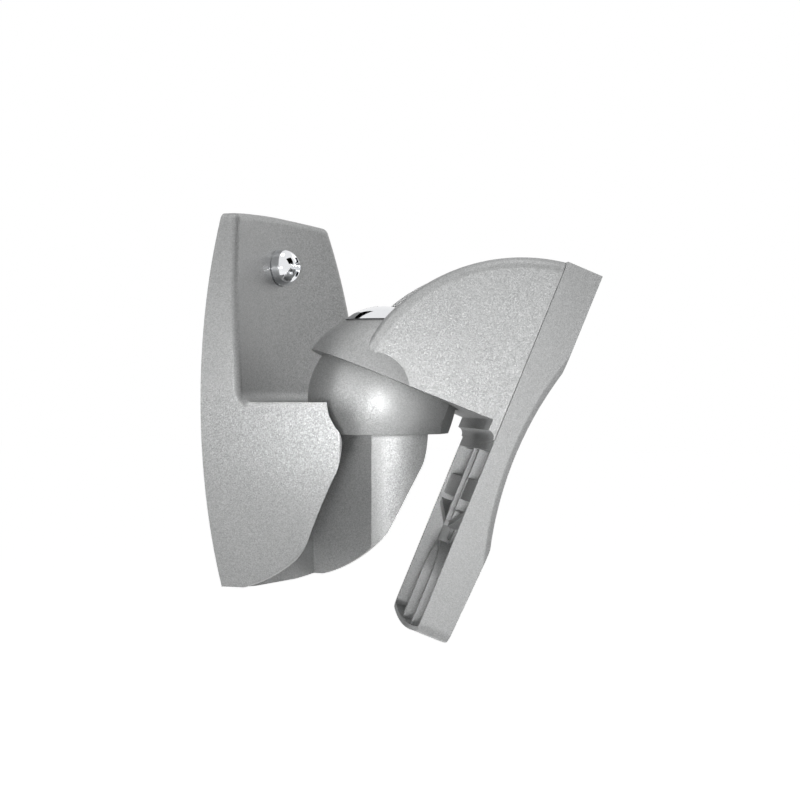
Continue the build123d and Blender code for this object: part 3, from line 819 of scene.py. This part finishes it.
def placed_lamp(name, kind, target, offset, power):
    """New lamp that faces its target."""
    data = bpy.data.lights.new(name, kind)
    data.energy = power
    lamp = linked(name, data)
    lamp.location = target + offset
    lamp.rotation_euler = facing(-offset)
    return data


def soft_lamp(name, target, offset, side, power):
    """Square lamp that faces its target."""
    data = placed_lamp(name, 'AREA', target, offset, power)
    data.shape = 'SQUARE'
    data.size = side


def spot_lamp(name, target, offset, plan, power):
    """Round spot that fades from its middle to its edge."""
    data = placed_lamp(name, 'SPOT', target, offset, power)
    data.spot_size = math.radians(2.0 * plan.half_angle)
    data.spot_blend = 1.0
    data.shadow_soft_size = plan.radius


def square_mesh(name, half, level, material):
    """Level square about the upright axis."""
    mesh = bpy.data.meshes.new(name)
    corners = [(-half, -half, level), (half, -half, level), (half, half, level), (-half, half, level)]
    mesh.from_pydata(corners, [], [(0, 1, 2, 3)])
    mesh.materials.append(material)
    return mesh


def dark_flag(name, target, offset, side):
    """Black card that only reflections show: it gives bright metal its dark patches."""
    material = bpy.data.materials.new(name)
    tree = emptied(material)
    matt = add_node(tree, 'ShaderNodeBsdfDiffuse')
    matt.inputs['Color'].default_value = CARD_BLACK
    output = add_node(tree, 'ShaderNodeOutputMaterial')
    tree.links.new(matt.outputs['BSDF'], output.inputs['Surface'])
    card = linked(name, square_mesh(name, side / 2, 0.0, material))
    card.location = target + offset
    card.rotation_euler = facing(-offset)
    card.visible_camera = False
    card.visible_diffuse = False
    card.visible_shadow = False


def seen_directly(tree):
    """1 for camera, glossy and transmitted rays, 0 for the rest."""
    path = add_node(tree, 'ShaderNodeLightPath')
    total = path.outputs['Is Camera Ray']
    for name in ('Is Glossy Ray', 'Is Transmission Ray'):
        node = add_node(tree, 'ShaderNodeMath', operation='MAXIMUM')
        tree.links.new(total, node.inputs[0])
        tree.links.new(path.outputs[name], node.inputs[1])
        total = node.outputs['Value']
    return total


def white_world(fill):
    """White surroundings for the camera and for reflections, with an even fill for the rest."""
    world = bpy.data.worlds.new("studio_white")
    tree = emptied(world)
    light = add_node(tree, 'ShaderNodeBackground')
    output = add_node(tree, 'ShaderNodeOutputWorld')
    tree.links.new(remap(tree, seen_directly(tree), fill, 1.0), light.inputs['Strength'])
    tree.links.new(light.outputs['Background'], output.inputs['Surface'])
    light.inputs['Color'].default_value = WHITE
    return world


def floor_white():
    """Pale floor that the camera sees as white, apart from the bracket's soft shadow."""
    material = bpy.data.materials.new("studio_floor")
    tree = emptied(material)
    matt = add_node(tree, 'ShaderNodeBsdfDiffuse')
    matt.inputs['Color'].default_value = FLOOR_PALE
    glow = add_node(tree, 'ShaderNodeEmission')
    tree.links.new(remap(tree, seen_directly(tree), 0.0, FLOOR_GLOW), glow.inputs['Strength'])
    both = add_node(tree, 'ShaderNodeAddShader')
    output = add_node(tree, 'ShaderNodeOutputMaterial')
    tree.links.new(matt.outputs['BSDF'], both.inputs[0])
    tree.links.new(glow.outputs['Emission'], both.inputs[1])
    tree.links.new(both.outputs['Shader'], output.inputs['Surface'])
    return material


class BRACKET_OT_set_studio(bpy.types.Operator):
    """Set up the floor, the lamps, the white surroundings and the camera"""

    bl_idname = "bracket.set_studio"
    bl_label = "Set studio"

    floor_half: FloatProperty(
        name="Floor half width", description="From the middle of the floor to its sides", unit='LENGTH',
        default=8.0)

    def execute(self, context):
        scene = context.scene
        settings = scene.bracket_studio
        scene.view_settings.view_transform = 'Standard'
        scene.world = white_world(settings.fill_strength)

        level = CAD_BOX[0][2] - settings.floor_drop
        floor = linked("studio_floor", square_mesh("studio_floor", self.floor_half, level, floor_white()))

        turn = settings.view_turn
        ahead = Vector((math.cos(turn), math.sin(turn), 0.0))
        aside = Vector((math.sin(turn), -math.cos(turn), 0.0))
        ball = ball_centre(scene)

        def away(plan):
            around, above = math.radians(plan.around), math.radians(plan.above)
            level_part = aside * math.sin(around) - ahead * math.cos(around)
            return (level_part * math.cos(above) + UP * math.sin(above)) * plan.distance

        aim = ball + aside * settings.spot_aside - UP * settings.spot_below
        pool = ball - aside * settings.pool_aside - UP * settings.pool_below
        for name, target, plan, power in (
            ("front_spot", aim, FRONT_SPOT, settings.front_power),
            ("left_spot", aim, LEFT_SPOT, settings.left_power),
            ("pool_spot", pool, POOL_SPOT, settings.pool_power),
        ):
            spot_lamp(name, target, away(plan), plan, power)
        for name, plan, power in (
            ("tray_lamp", TRAY_LAMP, settings.tray_power),
            ("top_lamp", TOP_LAMP, settings.top_power),
            ("back_lamp", BACK_LAMP, settings.back_power),
        ):
            soft_lamp(name, ball, away(plan), plan.side, power)
        for name, plan in DARK_FLAGS.items():
            dark_flag(name, ball, away(plan), plan.side)

        data = bpy.data.cameras.new("photo_camera")
        data.sensor_width = SENSOR
        data.lens = settings.focal_pixels / PHOTO_SIDE * SENSOR
        data.clip_start = NEAREST_VIEW
        camera = linked("photo_camera", data)
        sideways = (settings.ball_column - PHOTO_SIDE / 2) / settings.focal_pixels * settings.view_distance
        camera.location = ball - ahead * settings.view_distance - aside * sideways
        camera.rotation_euler = facing(ahead)
        scene.camera = camera
        return {'FINISHED'}


class BRACKET_PT_panel(bpy.types.Panel):
    """Lists the steps and their sizes"""

    bl_idname = "BRACKET_PT_panel"
    bl_label = "Speaker wall bracket"
    bl_space_type = 'VIEW_3D'
    bl_region_type = 'UI'
    bl_category = "Bracket"

    def draw(self, context):
        for operator in OPERATORS:
            self.layout.operator(operator.bl_idname)
        for group in SETTINGS:
            settings = getattr(context.scene, group)
            box = self.layout.box()
            for key in settings.__annotations__:
                box.prop(settings, key)


OPERATORS = (BRACKET_OT_paint_castings, BRACKET_OT_rib_tray, BRACKET_OT_dress_wall_screws,
             BRACKET_OT_plate_clamp_screw, BRACKET_OT_finish_arm_fixings, BRACKET_OT_set_studio)
SETTINGS = {
    "bracket_castings": CastingSettings,
    "bracket_tray": TraySettings,
    "bracket_screws": ScrewSettings,
    "bracket_studio": StudioSettings,
}


def register():
    """Registers the settings, the operators and the panel."""
    for group, kind in SETTINGS.items():
        bpy.utils.register_class(kind)
        setattr(bpy.types.Scene, group, PointerProperty(type=kind))
    for kind in OPERATORS:
        bpy.utils.register_class(kind)
    bpy.utils.register_class(BRACKET_PT_panel)


def unregister():
    """Takes the panel, the operators and the settings out again."""
    bpy.utils.unregister_class(BRACKET_PT_panel)
    for kind in reversed(OPERATORS):
        bpy.utils.unregister_class(kind)
    for group, kind in reversed(SETTINGS.items()):
        delattr(bpy.types.Scene, group)
        bpy.utils.unregister_class(kind)


def main():
    """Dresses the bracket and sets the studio."""
    register()
    bpy.ops.bracket.paint_castings()
    bpy.ops.bracket.rib_tray()
    bpy.ops.bracket.dress_wall_screws()
    bpy.ops.bracket.plate_clamp_screw()
    bpy.ops.bracket.finish_arm_fixings()
    bpy.ops.bracket.set_studio()


if __name__ == "__main__":
    main()
